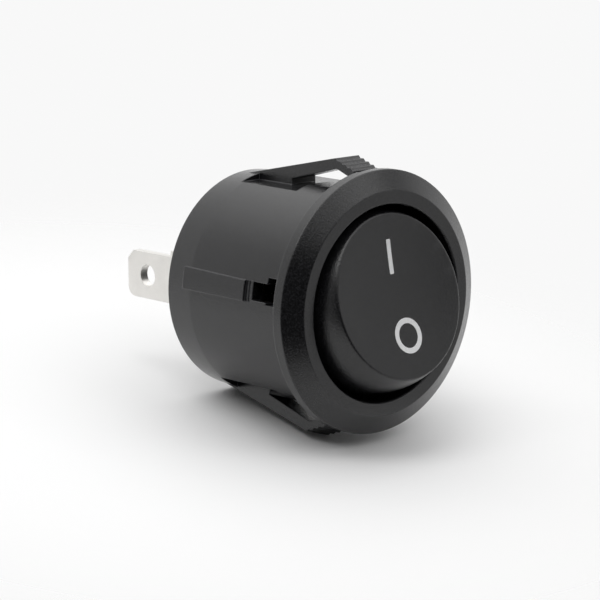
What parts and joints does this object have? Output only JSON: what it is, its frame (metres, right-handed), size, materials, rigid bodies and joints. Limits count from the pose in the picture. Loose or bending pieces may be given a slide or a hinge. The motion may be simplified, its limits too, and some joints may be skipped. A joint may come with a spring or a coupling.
{
  "type": "round rocker switch",
  "caption": "Round snap-in rocker switch: bezel, barrel with stepped snap arms, dished rocker that tilts between on and off, plunger, contact bridge and quick-connect blades.",
  "frame": {"origin": "on the switch axis, in the plane where the bezel seats on the panel's front", "axes": "+Y along the switch axis to the rear, through the panel to the blades; the rocker faces -Y; +Z towards the end marked I; +X to the right as seen from the front"},
  "size_m": [0.023, 0.0284, 0.0243],
  "materials": {
    "housing_nylon": "black moulded nylon, finely eroded mould texture",
    "rocker_nylon": "black moulded nylon, satin",
    "plunger_acetal": "moulded acetal, natural",
    "spring_steel": "drawn spring wire",
    "bridge_brass": "stamped strip",
    "contact_silver": "silver faced rivet",
    "terminal_tin": "stamped sheet, bright tin plating"
  },
  "bodies": {
    "body": {"housing": "housing_nylon", "common_terminal": "terminal_tin", "switched_terminal": "terminal_tin", "fixed_rivet": "contact_silver"},
    "rocker": {"rocker": "rocker_nylon", "plunger_spring": "spring_steel"},
    "plunger": {"plunger": "plunger_acetal"},
    "contact": {"contact_bridge": "bridge_brass", "bridge_rivet": "contact_silver"}
  },
  "joints": [
    {"name": "rocker_pivot", "type": "hinge", "parent": "body", "child": "rocker", "pos_m": [0, 0, 0], "axis": [1, 0, 0], "range_deg": [0, 28]},
    {"name": "contact_pivot", "type": "hinge", "parent": "body", "child": "contact", "pos_m": [0, 0.0114, 0], "axis": [1, 0, 0], "range_deg": [-14, 0]},
    {"name": "plunger_slide", "type": "slide", "parent": "rocker", "child": "plunger", "axis": [0, 0.9703, -0.2419], "range_m": [-0.0012, 0], "stiffness_N_per_m": 800, "deforming": ["plunger_spring"]}
  ],
  "couplings": [
    {"joint": "contact_pivot", "follows": "rocker_pivot", "ratio": -0.5}
  ]
}
